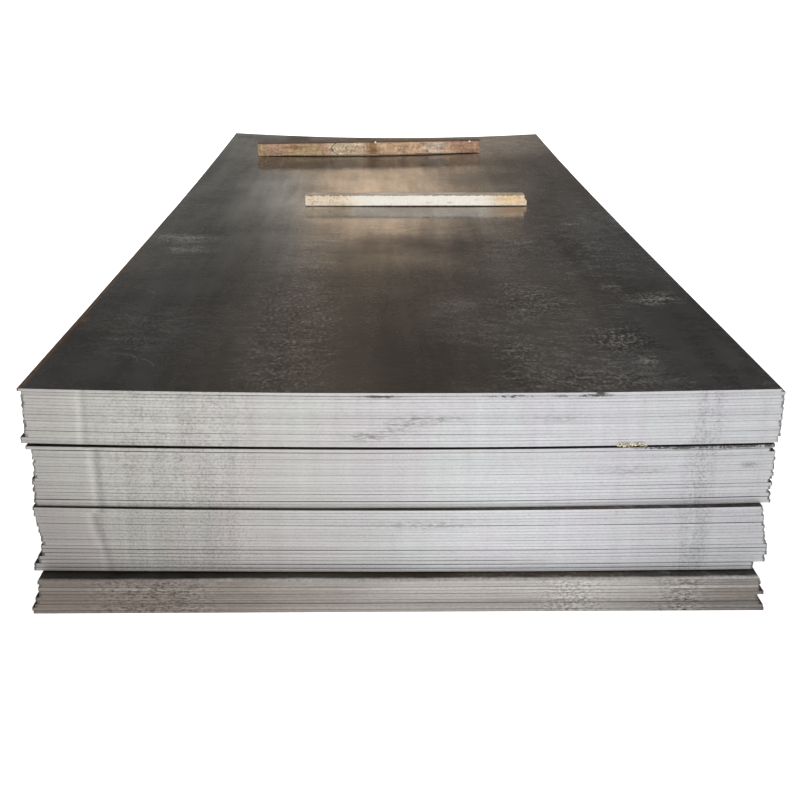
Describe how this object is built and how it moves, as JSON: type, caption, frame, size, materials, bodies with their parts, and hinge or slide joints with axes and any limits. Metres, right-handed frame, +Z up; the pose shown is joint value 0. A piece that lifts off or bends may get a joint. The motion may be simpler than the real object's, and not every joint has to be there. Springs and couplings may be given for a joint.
{
  "type": "stack of steel plates",
  "caption": "Long, low stack of thin hot-rolled steel plates in packs, with curled corners and uneven edges, and loose wood battens lying across the top plate.",
  "frame": {"origin": "centre of the underside, on the floor", "axes": "+Y along the plates, from the bright front edges towards the rear; +X across them; +Z up"},
  "size_m": [1.5373, 4.0564, 0.5262],
  "materials": {
    "sheared_edges": "sheared plate edges, bright silver grey, satin",
    "dirty_edges": "sheared plate edges, grey with dirt and a little rust",
    "mill_scale": "hot-rolled mill scale, dark, semi-gloss with scuffs",
    "pale_wood": "fresh sawn softwood",
    "brown_wood": "weathered sawn softwood with stains"
  },
  "bodies": {
    "root": {"pack_bottom": "dirty_edges", "pack_lower": "sheared_edges", "pack_upper": "sheared_edges", "pack_top": "sheared_edges", "top_plate": "mill_scale", "batten_front": "pale_wood", "batten_rear": "brown_wood"}
  },
  "joints": []
}
